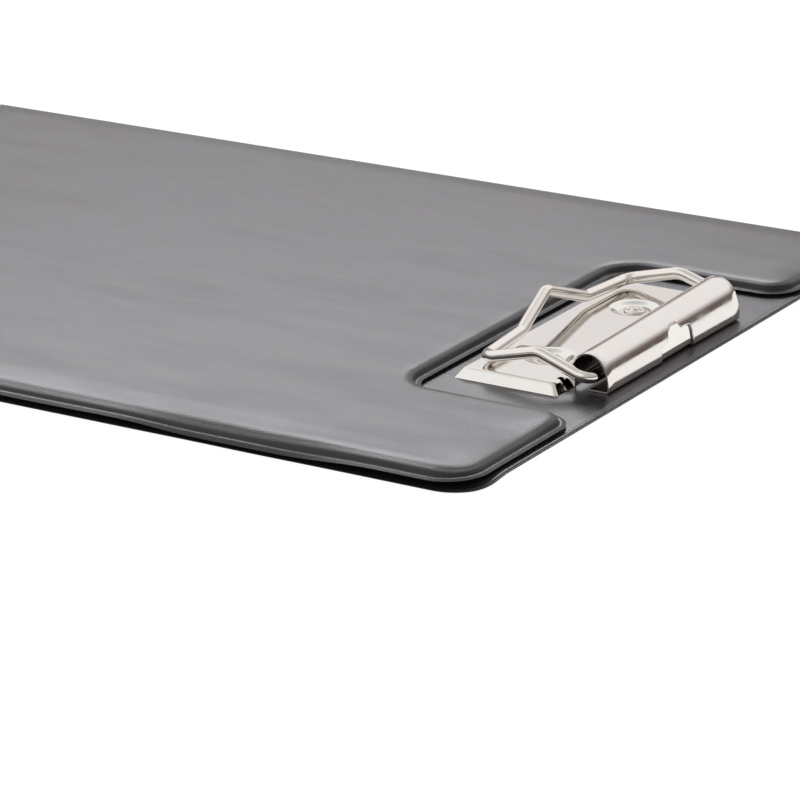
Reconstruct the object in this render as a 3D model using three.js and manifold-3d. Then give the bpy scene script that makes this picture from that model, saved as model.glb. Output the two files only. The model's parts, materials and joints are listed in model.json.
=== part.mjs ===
// A4 fold-over clipboard, closed. Two greyboard panels are sealed between an outer and an inner
// PVC foil; a strip of the same foils joins them along the spine. The front cover has a U-shaped
// notch for a pressed clip: a base plate held by two rivets, a spring roller and a wire bail.
//
// Millimetres. X runs across the board (+X is the open long edge, -X the spine), +Y towards the
// clip, +Z up. The origin is the middle of the footprint, on the face that lies on a table.
import * as THREE from 'three';
import { mergeVertices } from 'three/addons/utils/BufferGeometryUtils.js';
import Module from 'manifold-3d';

// ---------------------------------------------------------------- driving dimensions
const BOARD_WIDTH = 235;
const BOARD_LENGTH = 335;
const FREE_CORNER_RADIUS = 12.5; // at the open long edge
const SPINE_CORNER_RADIUS = 2; // the foils run on square into the spine strip

const FOIL = 0.3; // one sheet of PVC
const WELD_RIM = 1.8; // width of the welded rim round each panel
const CARD = 2.0; // greyboard thickness
const PANEL_GAP = 0.8; // closed cover above the back board

const BACK_SHOULDER = 3.6; // inset of the back's raised face from its rim edge
const COVER_SHOULDER = 3.7; // the same on the cover
const COVER_OPEN_SHOULDER = 7.8; // and along its open long edge, where the card stops short
const COVER_SETBACK = 2.4; // the cover stops this far short of the back's clip end

const BACK_RIM_Z = 2.3; // underside of the back's welded rim
const BACK_TOP_Z = BACK_RIM_Z + 2 * FOIL;
const COVER_RIM_Z = BACK_TOP_Z + PANEL_GAP;
const COVER_TOP_Z = COVER_RIM_Z + CARD + 2 * FOIL;

// The fold: one hinge line on the back's rim, one on the inner side of the cover's rim. Their
// distance lets the cover fold right round behind the back.
const COVER_HINGE_X = -BOARD_WIDTH / 2 - 0.4;
const HINGE_SPACING = 6.4;
const BACK_HINGE_X = COVER_HINGE_X + HINGE_SPACING;
const BACK_EDGE_X = BACK_HINGE_X + 0.45;
const SPINE_BACK_X = BACK_HINGE_X - 0.4;
const SPINE_COVER_X = COVER_HINGE_X + 1.3;

const NOTCH_HALF_WIDTH = 59.2;
const NOTCH_FRONT_Y = BOARD_LENGTH / 2 - 56.4;
const NOTCH_INNER_RADIUS = 8.5;
const NOTCH_MOUTH_RADIUS = 9.5;

const CLIP_X = -2; // the clip sits just off the board's centre line

const PLATE_SHEET = 0.7;
const PLATE_FLAT_Z = 5.8;
const PLATE_HALF_LENGTH = 44.1; // of the flat
const PLATE_FRONT_Y = 118;
const PLATE_REAR_Y = 147;
const PLATE_BEVEL = 2.2; // how far the bevelled skirt spreads down to the board

const RIVET_MIDDLE_X = CLIP_X + 0.8;
const RIVET_SPREAD = 24.2; // from that middle
const RIVET_Y = 134.1;
const RIVET_SHANK_RADIUS = 1.7;
const RIVET_HOLE_RADIUS = 2.0;
const RIVET_DISH_RADIUS = 7.4;
const RIVET_DISH_DEPTH = 1.0;
const BACK_DIMPLE_RADIUS = 8;
const BACK_DIMPLE_DEPTH = 0.95;

const ROLLER_SHEET = 0.55;
const ROLLER_HALF_LENGTH = 36.8;
const ROLLER_X = CLIP_X + 1.3;
const ROLLER_Y = 154.6;
const ROLLER_Z = 8.7;
const ROLLER_RADIUS = 5.5; // to the middle of the sheet
const ROLLER_REAR_Y = 161.2; // the rear wall leans out down to here
const ROLLER_WALL_LEAN = 20; // degrees, where the wall leaves the round part
const ROLLER_FOOT_Z = BACK_TOP_Z + 0.65;
const ROLLER_LIP_Y = 154.6;

const TONGUE_HALF_WIDTH = 8.6;
const TONGUE_TIP_HALF_WIDTH = 4.6;
const TONGUE_STEP_Z = 8.4;
const TONGUE_TIP_Z = 11.3;
const WINDOW_GAP = 0.45;

const WIRE_RADIUS = 1.75;
const PIVOT_Y = 156.5;
const PIVOT_Z = 7.6;
// Half of the bail, from the pin inside the roller to the finger hump: distance from the clip's
// centre, y, z and the bend radius at that point.
const BAIL_BENDS = [
  [32, PIVOT_Y, PIVOT_Z, 0],
  [40.6, PIVOT_Y, PIVOT_Z, 2.4],
  [40.6, 152.9, 8.2, 2],
  [40.2, 139.8, 12.5, 5],
  [40.5, 122.1, 8.0, 4],
  [17.9, 120.9, 8.8, 4],
  [0, 118.4, 15.4, 3],
];
const BAIL_STEPS = 128;
const WIRE_SIDES = 10;

const ARC_STEPS = 8; // facets in a quarter turn

// ---------------------------------------------------------------- materials
const pvc = new THREE.MeshStandardMaterial({ color: 0x2a292b, roughness: 0.45, metalness: 0 });
const innerPvc = new THREE.MeshStandardMaterial({ color: 0x1f1e20, roughness: 0.55, metalness: 0 });
const greyboard = new THREE.MeshStandardMaterial({ color: 0x8c8275, roughness: 0.95, metalness: 0 });
const nickel = new THREE.MeshStandardMaterial({ color: 0xcdc8c1, roughness: 0.18, metalness: 1 });

// ---------------------------------------------------------------- solids and booleans
const wasm = await Module();
wasm.setup();

function toSolid(geometry) {
  const bare = geometry.clone();
  bare.deleteAttribute('normal');
  bare.deleteAttribute('uv');
  const merged = mergeVertices(bare, 1e-4);
  return new wasm.Manifold(new wasm.Mesh({
    numProp: 3,
    vertProperties: new Float32Array(merged.attributes.position.array),
    triVerts: new Uint32Array(merged.index.array),
  }));
}

function toGeometry(solid) {
  const mesh = solid.getMesh();
  const geometry = new THREE.BufferGeometry();
  geometry.setAttribute('position', new THREE.BufferAttribute(mesh.vertProperties, 3));
  geometry.setIndex(new THREE.BufferAttribute(mesh.triVerts, 1));
  geometry.computeVertexNormals();
  return geometry;
}

// ---------------------------------------------------------------- geometry helpers
function arc(points, centreX, centreY, radius, fromDegrees, toDegrees) {
  for (let step = 0; step <= ARC_STEPS; step += 1) {
    const turn = THREE.MathUtils.degToRad(fromDegrees + ((toDegrees - fromDegrees) * step) / ARC_STEPS);
    points.push([centreX + radius * Math.cos(turn), centreY + radius * Math.sin(turn)]);
  }
}

// Skins a stack of outlines that have the same number of points, and caps both ends. Where the
// stack turns back down, its walls face inwards, so one call makes a whole tray.
function loft(levels) {
  const count = levels[0].outline.length;
  const position = [];
  for (const { outline, z } of levels) {
    outline.forEach(([x, y]) => position.push(x, y, z));
  }
  const index = [];
  const cap = (level, order) => {
    const flat = levels[level].outline.map(([x, y]) => new THREE.Vector2(x, y));
    for (const face of THREE.ShapeUtils.triangulateShape(flat, [])) {
      index.push(...order.map((corner) => level * count + face[corner]));
    }
  };
  cap(0, [0, 2, 1]);
  for (let level = 0; level + 1 < levels.length; level += 1) {
    for (let j = 0; j < count; j += 1) {
      const next = (j + 1) % count;
      const [a, b] = [level * count + j, level * count + next];
      index.push(a, b, b + count, a, b + count, a + count);
    }
  }
  cap(levels.length - 1, [0, 1, 2]);
  const geometry = new THREE.BufferGeometry();
  geometry.setAttribute('position', new THREE.Float32BufferAttribute(position, 3));
  geometry.setIndex(index);
  geometry.computeVertexNormals();
  return geometry;
}

// Extrudes a closed [y, z] outline along X.
function extrudeAcross(outline, fromX, toX) {
  const shape = new THREE.Shape(outline.map(([y, z]) => new THREE.Vector2(y, z)));
  const geometry = new THREE.ExtrudeGeometry(shape, { depth: toX - fromX, bevelEnabled: false });
  const turn = new THREE.Matrix4().makeBasis(
    new THREE.Vector3(0, 1, 0), new THREE.Vector3(0, 0, 1), new THREE.Vector3(1, 0, 0));
  return geometry.applyMatrix4(turn).translate(fromX, 0, 0);
}

function block(x0, x1, y0, y1, z0, z1) {
  const geometry = new THREE.BoxGeometry(x1 - x0, y1 - y0, z1 - z0);
  return geometry.translate((x0 + x1) / 2, (y0 + y1) / 2, (z0 + z1) / 2);
}

// A solid of revolution about a vertical axis, from its [radius, z] outline.
function turned(outline, x, y, sides = 24) {
  const profile = outline.map(([radius, z]) => new THREE.Vector2(radius, z));
  return new THREE.LatheGeometry(profile, sides).rotateX(Math.PI / 2).translate(x, y, 0);
}

function cone(x, y, bottomRadius, topRadius, z0, z1) {
  return turned([[0, z0], [bottomRadius, z0], [topRadius, z1], [0, z1]], x, y);
}

// The closed outline of a sheet of even thickness whose middle follows a [y, z] path.
function sheetOutline(path, thickness) {
  const left = [];
  const right = [];
  path.forEach(([y, z], index) => {
    const before = path[Math.max(index - 1, 0)];
    const after = path[Math.min(index + 1, path.length - 1)];
    const along = new THREE.Vector2(after[0] - before[0], after[1] - before[1]).normalize();
    left.push([y - (along.y * thickness) / 2, z + (along.x * thickness) / 2]);
    right.push([y + (along.y * thickness) / 2, z - (along.x * thickness) / 2]);
  });
  return [...left, ...right.reverse()];
}

function pathPoints(path, divisions) {
  return path.getPoints(divisions).map((point) => [point.x, point.y]);
}

// ---------------------------------------------------------------- panel outlines
// Outline of the back, set in by `inset` all round.
function backOutline(inset) {
  const [x0, x1] = [BACK_EDGE_X + inset, BOARD_WIDTH / 2 - inset];
  const [y0, y1] = [-BOARD_LENGTH / 2 + inset, BOARD_LENGTH / 2 - inset];
  const free = FREE_CORNER_RADIUS - inset;
  const spine = Math.max(SPINE_CORNER_RADIUS - inset, 0.5);
  const points = [];
  arc(points, x1 - free, y0 + free, free, -90, 0);
  arc(points, x1 - free, y1 - free, free, 0, 90);
  arc(points, x0 + spine, y1 - spine, spine, 90, 180);
  arc(points, x0 + spine, y0 + spine, spine, 180, 270);
  return points;
}

// Outline of the cover with its notch, set in by `inset`, and by `openInset` at the open edge.
function coverOutline(inset, openInset = inset) {
  const [x0, x1] = [-BOARD_WIDTH / 2 + inset, BOARD_WIDTH / 2 - openInset];
  const [y0, y1] = [-BOARD_LENGTH / 2 + inset, BOARD_LENGTH / 2 - COVER_SETBACK - inset];
  const free = FREE_CORNER_RADIUS - inset;
  const spine = Math.max(SPINE_CORNER_RADIUS - inset, 0.5);
  const mouth = NOTCH_MOUTH_RADIUS - inset;
  const inner = NOTCH_INNER_RADIUS + inset;
  const wall = NOTCH_HALF_WIDTH + inset;
  const front = NOTCH_FRONT_Y - inset;
  const points = [];
  arc(points, x1 - free, y0 + free, free, -90, 0);
  arc(points, x1 - free, y1 - free, free, 0, 90);
  arc(points, wall + mouth, y1 - mouth, mouth, 90, 180);
  arc(points, wall - inner, front + inner, inner, 0, -90);
  arc(points, -wall + inner, front + inner, inner, -90, -180);
  arc(points, -wall - mouth, y1 - mouth, mouth, 0, 90);
  arc(points, x0 + spine, y1 - spine, spine, 90, 180);
  arc(points, x0 + spine, y0 + spine, spine, 180, 270);
  return points;
}

// ---------------------------------------------------------------- back board
const rivetPlaces = { left: RIVET_MIDDLE_X - RIVET_SPREAD, right: RIVET_MIDDLE_X + RIVET_SPREAD };

function withRivetHoles(geometry) {
  let solid = toSolid(geometry);
  for (const x of Object.values(rivetPlaces)) {
    solid = solid.subtract(toSolid(cone(x, RIVET_Y, RIVET_HOLE_RADIUS, RIVET_HOLE_RADIUS, -5, 20)));
  }
  return solid;
}

// A tray that opens upwards, with its flat face down, pressed up in a dimple at each rivet.
function backOuterFoil() {
  let solid = toSolid(loft([
    { outline: backOutline(BACK_SHOULDER), z: 0 },
    { outline: backOutline(WELD_RIM), z: BACK_RIM_Z },
    { outline: backOutline(0), z: BACK_RIM_Z },
    { outline: backOutline(0), z: BACK_RIM_Z + FOIL },
    { outline: backOutline(WELD_RIM + FOIL), z: BACK_RIM_Z + FOIL },
    { outline: backOutline(BACK_SHOULDER + FOIL), z: FOIL },
  ]));
  const [wide, narrow] = [BACK_DIMPLE_RADIUS, BACK_DIMPLE_RADIUS - 2];
  for (const x of Object.values(rivetPlaces)) {
    const cup = cone(x, RIVET_Y, wide + FOIL, narrow + FOIL, 0, BACK_DIMPLE_DEPTH + FOIL);
    const hollow = cone(x, RIVET_Y, wide + 0.2, narrow, -0.1, BACK_DIMPLE_DEPTH);
    solid = solid.add(toSolid(cup)).subtract(toSolid(hollow));
  }
  return toGeometry(withRivetHoles(toGeometry(solid)));
}

function backCard() {
  const inset = BACK_SHOULDER + FOIL + 0.2;
  let solid = withRivetHoles(loft([
    { outline: backOutline(inset), z: FOIL },
    { outline: backOutline(inset), z: FOIL + CARD },
  ]));
  for (const x of Object.values(rivetPlaces)) {
    const room = BACK_DIMPLE_RADIUS + 0.6;
    solid = solid.subtract(toSolid(cone(x, RIVET_Y, room, room - 2, 0, BACK_DIMPLE_DEPTH + FOIL + 0.02)));
  }
  return toGeometry(solid);
}

function backInnerFoil() {
  return toGeometry(withRivetHoles(loft([
    { outline: backOutline(0), z: BACK_TOP_Z - FOIL },
    { outline: backOutline(0), z: BACK_TOP_Z },
  ])));
}

// ---------------------------------------------------------------- spine strip
function spineFoil(fromZ) {
  const half = BOARD_LENGTH / 2;
  return block(SPINE_COVER_X, SPINE_BACK_X, -half, half, fromZ, fromZ + FOIL);
}

// ---------------------------------------------------------------- front cover
function coverInnerFoil() {
  return loft([
    { outline: coverOutline(0), z: COVER_RIM_Z },
    { outline: coverOutline(0), z: COVER_RIM_Z + FOIL },
  ]);
}

// A tray that opens downwards over the card, with a soft shoulder up to its flat top.
function coverOuterFoil() {
  const rimZ = COVER_RIM_Z + FOIL;
  const ceilingZ = COVER_TOP_Z - FOIL;
  return loft([
    { outline: coverOutline(COVER_SHOULDER + 0.4, COVER_OPEN_SHOULDER + 0.4), z: ceilingZ },
    { outline: coverOutline(WELD_RIM + 0.9), z: rimZ + 0.8 },
    { outline: coverOutline(WELD_RIM + 0.4), z: rimZ },
    { outline: coverOutline(0), z: rimZ },
    { outline: coverOutline(0), z: rimZ + FOIL },
    { outline: coverOutline(WELD_RIM), z: rimZ + FOIL },
    { outline: coverOutline(WELD_RIM + 0.6, WELD_RIM + 1.2), z: rimZ + 1.3 },
    { outline: coverOutline(COVER_SHOULDER, COVER_OPEN_SHOULDER), z: COVER_TOP_Z },
  ]);
}

function coverCard() {
  const inset = COVER_SHOULDER + 0.6;
  const openInset = COVER_OPEN_SHOULDER + 0.6;
  return loft([
    { outline: coverOutline(inset, openInset), z: COVER_RIM_Z + FOIL },
    { outline: coverOutline(inset, openInset), z: COVER_RIM_Z + FOIL + CARD },
  ]);
}

// ---------------------------------------------------------------- clip
// The plate's envelope, lowered and set in by `t`: a flat top with a bevelled skirt all round.
function plateEnvelope(t) {
  const footZ = BACK_TOP_Z - (t > 0 ? 1 : 0);
  const spread = PLATE_BEVEL * ((PLATE_FLAT_Z - t - footZ) / (PLATE_FLAT_Z - BACK_TOP_Z));
  const level = (grow, z) => {
    const [half, front, rear] = [PLATE_HALF_LENGTH + grow, PLATE_FRONT_Y - grow, PLATE_REAR_Y + grow];
    const outline = [
      [CLIP_X - half, front], [CLIP_X + half, front], [CLIP_X + half, rear], [CLIP_X - half, rear],
    ];
    return { outline, z };
  };
  const inward = -t * 0.5;
  return toSolid(loft([level(spread + inward, footZ), level(inward, PLATE_FLAT_Z - t)]));
}

// Runs from the plate's rear edge along the board, then straight up in the roller's window.
function tonguePath(topZ) {
  const [lowZ, turnY] = [BACK_TOP_Z + 0.4, ROLLER_REAR_Y - 1.3];
  const path = new THREE.Path();
  path.moveTo(PLATE_REAR_Y - 0.6, PLATE_FLAT_Z - 0.4);
  path.lineTo(PLATE_REAR_Y + PLATE_BEVEL, lowZ);
  path.lineTo(turnY - 1.6, lowZ);
  path.quadraticCurveTo(turnY, lowZ, turnY, lowZ + 1.6);
  path.lineTo(turnY, topZ);
  return pathPoints(path, 6);
}

function clipBasePlate() {
  let plate = plateEnvelope(0).subtract(plateEnvelope(PLATE_SHEET));
  const lowered = PLATE_FLAT_Z - RIVET_DISH_DEPTH;
  for (const x of Object.values(rivetPlaces)) {
    const wide = RIVET_DISH_RADIUS;
    const under = cone(x, RIVET_Y, wide - 2.5, wide + 0.2, lowered - PLATE_SHEET, PLATE_FLAT_Z - PLATE_SHEET);
    const dish = cone(x, RIVET_Y, wide - 2.5, wide + 0.5, lowered, PLATE_FLAT_Z + 0.2);
    plate = plate.add(toSolid(under)).subtract(toSolid(dish));
  }
  const strips = [[TONGUE_HALF_WIDTH, TONGUE_STEP_Z], [TONGUE_TIP_HALF_WIDTH, TONGUE_TIP_Z]];
  for (const [half, topZ] of strips) {
    const strip = extrudeAcross(sheetOutline(tonguePath(topZ), PLATE_SHEET), CLIP_X - half, CLIP_X + half);
    plate = plate.add(toSolid(strip));
  }
  // A small slot beside each rear corner leaves a tooth on the rear edge.
  for (const side of [-1, 1]) {
    const slot = CLIP_X + side * 40.5;
    plate = plate.subtract(toSolid(block(slot - 1.2, slot + 1.2, PLATE_REAR_Y - 1.6, 151, 2, 8)));
  }
  return toGeometry(withRivetHoles(toGeometry(plate)));
}

// A C-shaped spring sleeve: open towards the front, with a leaning rear wall and a foot lip.
function springRoller() {
  const path = new THREE.Path();
  const lean = THREE.MathUtils.degToRad(ROLLER_WALL_LEAN);
  path.absarc(ROLLER_Y, ROLLER_Z, ROLLER_RADIUS, THREE.MathUtils.degToRad(200), lean, true);
  path.quadraticCurveTo(ROLLER_REAR_Y - 0.4, ROLLER_Z - 1.2, ROLLER_REAR_Y, ROLLER_FOOT_Z + 0.9);
  path.quadraticCurveTo(ROLLER_REAR_Y, ROLLER_FOOT_Z, ROLLER_REAR_Y - 0.9, ROLLER_FOOT_Z);
  path.lineTo(ROLLER_LIP_Y, ROLLER_FOOT_Z);
  const outline = sheetOutline(pathPoints(path, 9), ROLLER_SHEET);
  const [x0, x1] = [ROLLER_X - ROLLER_HALF_LENGTH, ROLLER_X + ROLLER_HALF_LENGTH];
  let roller = toSolid(extrudeAcross(outline, x0, x1));
  const windows = [[TONGUE_HALF_WIDTH, TONGUE_STEP_Z], [TONGUE_TIP_HALF_WIDTH, TONGUE_TIP_Z]];
  for (const [half, topZ] of windows) {
    const reach = half + WINDOW_GAP;
    const cut = block(CLIP_X - reach, CLIP_X + reach, ROLLER_LIP_Y - 1, ROLLER_REAR_Y + 2, 2, topZ + WINDOW_GAP);
    roller = roller.subtract(toSolid(cut));
  }
  return toGeometry(roller);
}

// Head on the plate's dish, shank through the board, tail upset over the washer underneath.
function rivet(x) {
  const headZ = PLATE_FLAT_Z - RIVET_DISH_DEPTH;
  const washerZ = BACK_DIMPLE_DEPTH - 0.5;
  return turned([
    [0, 0.05], [2.9, 0.05], [2.9, washerZ], [RIVET_SHANK_RADIUS, washerZ], [RIVET_SHANK_RADIUS, headZ],
    [3.4, headZ], [3.4, headZ + 0.3], [2.9, headZ + 0.7], [1.8, headZ + 1.15], [0, headZ + 1.35],
  ], x, RIVET_Y);
}

function rivetWasher(x) {
  const [z0, z1] = [BACK_DIMPLE_DEPTH - 0.5, BACK_DIMPLE_DEPTH];
  return turned([
    [RIVET_HOLE_RADIUS, z0], [4.5, z0], [4.5, z1], [RIVET_HOLE_RADIUS, z1], [RIVET_HOLE_RADIUS, z0],
  ], x, RIVET_Y);
}

// Joins the bends with straight stretches and a curve at each bend.
function bentWire(bends) {
  const path = new THREE.CurvePath();
  let from = bends[0].point;
  bends.forEach(({ point, radius }, index) => {
    if (index === 0 || index === bends.length - 1) return;
    const inward = bends[index - 1].point.clone().sub(point).normalize();
    const outward = bends[index + 1].point.clone().sub(point).normalize();
    const reach = radius / Math.tan(inward.angleTo(outward) / 2);
    const start = point.clone().addScaledVector(inward, reach);
    const end = point.clone().addScaledVector(outward, reach);
    path.add(new THREE.LineCurve3(from, start));
    path.add(new THREE.QuadraticBezierCurve3(start, point, end));
    from = end;
  });
  path.add(new THREE.LineCurve3(from, bends[bends.length - 1].point));
  return path;
}

function wireBail() {
  const half = BAIL_BENDS.map(([reach, y, z, radius]) => (
    { point: new THREE.Vector3(CLIP_X + reach, y, z), radius }));
  const mirrored = BAIL_BENDS.slice(0, -1).reverse().map(([reach, y, z, radius]) => (
    { point: new THREE.Vector3(CLIP_X - reach, y, z), radius }));
  const section = new THREE.Shape();
  for (let side = 0; side < WIRE_SIDES; side += 1) {
    const turn = (2 * Math.PI * side) / WIRE_SIDES;
    const [x, y] = [WIRE_RADIUS * Math.cos(turn), WIRE_RADIUS * Math.sin(turn)];
    if (side === 0) section.moveTo(x, y);
    else section.lineTo(x, y);
  }
  return new THREE.ExtrudeGeometry(section, {
    steps: BAIL_STEPS, bevelEnabled: false, extrudePath: bentWire([...half, ...mirrored]),
  });
}

// ---------------------------------------------------------------- assembly
function piece(name, geometry, material) {
  const mesh = new THREE.Mesh(geometry, material);
  mesh.name = name;
  return mesh;
}

const backBoard = new THREE.Group();
backBoard.add(
  piece('back_outer_foil', backOuterFoil(), pvc),
  piece('back_card', backCard(), greyboard),
  piece('back_inner_foil', backInnerFoil(), innerPvc),
  piece('clip_base_plate', clipBasePlate(), nickel),
  piece('spring_roller', springRoller(), nickel),
);
for (const [side, x] of Object.entries(rivetPlaces)) {
  backBoard.add(piece(`rivet_${side}`, rivet(x), nickel));
  backBoard.add(piece(`rivet_washer_${side}`, rivetWasher(x), nickel));
}

const spine = new THREE.Group();
spine.add(
  piece('spine_outer_foil', spineFoil(BACK_RIM_Z), pvc),
  piece('spine_inner_foil', spineFoil(BACK_RIM_Z + FOIL), innerPvc),
);

const cover = new THREE.Group();
cover.add(
  piece('cover_outer_foil', coverOuterFoil(), pvc),
  piece('cover_card', coverCard(), greyboard),
  piece('cover_inner_foil', coverInnerFoil(), innerPvc),
);

const bail = new THREE.Group();
bail.add(piece('wire_bail', wireBail(), nickel));

const clipboard = new THREE.Group();
clipboard.add(backBoard, spine, cover, bail);

export default clipboard;
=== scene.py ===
"""Looks for an A4 fold-over clipboard, closed: grained black PVC boards, a live fold along the
spine, and a nickel-plated clip with a spring roller and a wire bail.

Shapes are written in millimetres and turned into metres when a mesh is made. X runs across the
board (+X is the open long edge, -X the spine), +Y towards the clip, +Z up.
"""

import json
import math

import bmesh
import bpy
from mathutils import Matrix, Vector, noise

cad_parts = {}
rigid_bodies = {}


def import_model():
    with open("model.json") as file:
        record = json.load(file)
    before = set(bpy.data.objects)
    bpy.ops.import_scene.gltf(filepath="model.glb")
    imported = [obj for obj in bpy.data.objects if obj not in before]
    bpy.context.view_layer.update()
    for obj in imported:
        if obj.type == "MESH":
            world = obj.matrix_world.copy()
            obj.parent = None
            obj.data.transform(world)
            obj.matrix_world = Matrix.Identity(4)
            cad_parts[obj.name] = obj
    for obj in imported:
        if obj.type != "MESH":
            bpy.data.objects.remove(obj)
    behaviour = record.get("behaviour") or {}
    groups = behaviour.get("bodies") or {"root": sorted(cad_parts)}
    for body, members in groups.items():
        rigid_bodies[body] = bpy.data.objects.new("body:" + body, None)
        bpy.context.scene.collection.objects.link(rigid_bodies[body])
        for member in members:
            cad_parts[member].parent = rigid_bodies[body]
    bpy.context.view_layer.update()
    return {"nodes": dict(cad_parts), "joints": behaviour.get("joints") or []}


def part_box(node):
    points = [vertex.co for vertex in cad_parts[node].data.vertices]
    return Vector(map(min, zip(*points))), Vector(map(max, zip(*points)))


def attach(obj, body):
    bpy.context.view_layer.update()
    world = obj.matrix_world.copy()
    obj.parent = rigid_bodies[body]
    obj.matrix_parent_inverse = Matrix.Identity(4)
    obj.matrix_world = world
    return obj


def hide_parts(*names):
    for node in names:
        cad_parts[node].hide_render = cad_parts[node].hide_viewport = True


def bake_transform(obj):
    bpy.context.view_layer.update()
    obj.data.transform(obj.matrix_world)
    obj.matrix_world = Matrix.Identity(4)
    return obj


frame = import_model()
MM = 0.001


def box_mm(node):
    low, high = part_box(node)
    return low / MM, high / MM


# ------------------------------------------------------------------ sizes taken from the frame
BACK_LOW, BACK_HIGH = box_mm("back_outer_foil")
BACK_TOP = box_mm("back_inner_foil")[1].z
COVER_LOW, COVER_HIGH = box_mm("cover_outer_foil")
COVER_RIM = box_mm("cover_inner_foil")[0].z
STRIP_LOW = box_mm("spine_outer_foil")[0]
STRIP_TOP = box_mm("spine_inner_foil")[1].z
PLATE_LOW, PLATE_HIGH = box_mm("clip_base_plate")
ROLLER_LOW, ROLLER_HIGH = box_mm("spring_roller")
RIVETS = {side: box_mm("rivet_" + side) for side in ("left", "right")}
CLIP_X = (PLATE_LOW.x + PLATE_HIGH.x) / 2
ROLLER_X = (ROLLER_LOW.x + ROLLER_HIGH.x) / 2
HINGES = {joint["name"]: Vector(joint["pos_m"]) / MM for joint in frame["joints"]}

# ------------------------------------------------------------------ other driving sizes
FREE_RADIUS = 12.5
SPINE_RADIUS = 2.0
NOTCH_HALF = 59.2
NOTCH_FRONT = 111.1
NOTCH_RADIUS = 8.5
MOUTH_RADIUS = 9.5
ARC_STEPS = 14
EDGE_SPACING = 4.5

OPEN_SIDE = 98
WELD_INSET = 1.8

PLATE_FLAT = 5.8
PLATE_BEVEL = 2.2
PLATE_LENGTH = 29
PLATE_SHEET = 0.63
DISH_RADIUS = 7.4
DISH_SLOPE = 2.6
DISH_DEPTH = 1.0

ROLLER_REAR, ROLLER_FOOT = 160.95, 2.95
ROLLER_HEEL = (ROLLER_REAR, ROLLER_FOOT + 1.2)

WIRE_RADIUS = 1.75
WIRE_SIDES = 20
ROUND_SIDES = 48
PIVOT = HINGES["bail_pivot"]


# ------------------------------------------------------------------ mesh helpers
def ring(bm, points):
    return [bm.verts.new(point) for point in points]


def skin(bm, first, second, closed=True):
    """Quads between two rings with the same number of vertices."""
    count = len(first) if closed else len(first) - 1
    for j in range(count):
        k = (j + 1) % len(first)
        bm.faces.new((first[j], first[k], second[k], second[j]))


def stack(bm, loops):
    """Rings of vertices for a list of loops, each skinned to the next."""
    rings = [ring(bm, loop) for loop in loops]
    for first, second in zip(rings, rings[1:]):
        skin(bm, first, second)
    return rings


def cap(bm, *loops):
    """Fills the area between one outer loop and any hole loops with triangles."""
    edges = []
    for loop in loops:
        for j, vert in enumerate(loop):
            other = loop[(j + 1) % len(loop)]
            edges.append(bm.edges.get((vert, other)) or bm.edges.new((vert, other)))
    bmesh.ops.triangle_fill(bm, use_beauty=True, use_dissolve=False, edges=edges)


def link(name, data):
    """A new object in the scene."""
    made = bpy.data.objects.new(name, data)
    bpy.context.scene.collection.objects.link(made)
    return made


def piece(bm, name, material, body, replaces=(), sharp=60):
    """Turns a millimetre mesh into a piece that rides on a body, or on none yet."""
    bmesh.ops.recalc_face_normals(bm, faces=bm.faces)
    bmesh.ops.scale(bm, vec=(MM, MM, MM), verts=bm.verts)
    mesh = bpy.data.meshes.new(name)
    bm.to_mesh(mesh)
    bm.free()
    mesh.shade_smooth()
    mesh.set_sharp_from_angle(angle=math.radians(sharp))
    mesh.materials.append(material)
    made = link(name, mesh)
    if body:
        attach(made, body)
    if replaces:
        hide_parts(*replaces)
    return made


def thicken(made, thickness, offset, inner=None, sharp=50, soft=0.0):
    """Gives a one-sided sheet its thickness, with crisp or slightly softened cut edges. Offset -1
    keeps the given side as the outer face, and inner is the material of the other side."""
    solid = made.modifiers.new("sheet", "SOLIDIFY")
    solid.thickness = thickness * MM
    solid.offset = offset
    solid.use_even_offset = True
    if inner:
        made.data.materials.append(inner)
        solid.material_offset = 1
    if soft:
        edge = made.modifiers.new("soft_edge", "BEVEL")
        edge.width = soft * MM
        edge.segments = 2
        edge.limit_method = "ANGLE"
        edge.angle_limit = math.radians(sharp)
    bpy.context.view_layer.update()
    solved = made.evaluated_get(bpy.context.evaluated_depsgraph_get())
    mesh = bpy.data.meshes.new_from_object(solved)
    made.modifiers.clear()
    made.data = mesh
    mesh.name = made.name
    mesh.shade_smooth()
    mesh.set_sharp_from_angle(angle=math.radians(sharp))
    return made


def rounded(corners, steps=None):
    """A closed outline with an arc at each corner (x, y, radius). Straights are cut evenly; steps
    repeats the number of cuts of another outline, so that the two can be skinned."""
    points, counts = [], []
    total = len(corners)
    arcs = []
    for index, (x, y, radius) in enumerate(corners):
        here = Vector((x, y))
        before = (Vector(corners[index - 1][:2]) - here).normalized()
        after = (Vector(corners[(index + 1) % total][:2]) - here).normalized()
        centre = here + (before + after) * radius
        arc = []
        for step in range(ARC_STEPS + 1):
            turn = math.pi / 2 * step / ARC_STEPS
            arc.append(centre - after * radius * math.cos(turn) - before * radius * math.sin(turn))
        arcs.append(arc)
    for index, arc in enumerate(arcs):
        start, end = arc[-1], arcs[(index + 1) % total][0]
        cuts = steps[index] if steps else max(1, round((end - start).length / EDGE_SPACING))
        counts.append(cuts)
        points += arc
        points += [start.lerp(end, cut / cuts) for cut in range(1, cuts)]
    return points, counts


def bump_at(value, middle, width):
    """A smooth bump, 1 in the middle and almost 0 at twice the width away."""
    return math.exp(-(((value - middle) / width) ** 2))


def ease(value, low, high):
    """0 below low, 1 above high, with a smooth change between."""
    share = max(0.0, min(1.0, (value - low) / (high - low)))
    return share * share * (3 - 2 * share)


def height_on(outline, across):
    """Height of an outline of (across, height) points, which are in order of across."""
    for (x0, z0), (x1, z1) in zip(outline, outline[1:]):
        if across <= x1:
            return z0 + (z1 - z0) * (across - x0) / (x1 - x0)
    return outline[-1][1]


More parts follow.
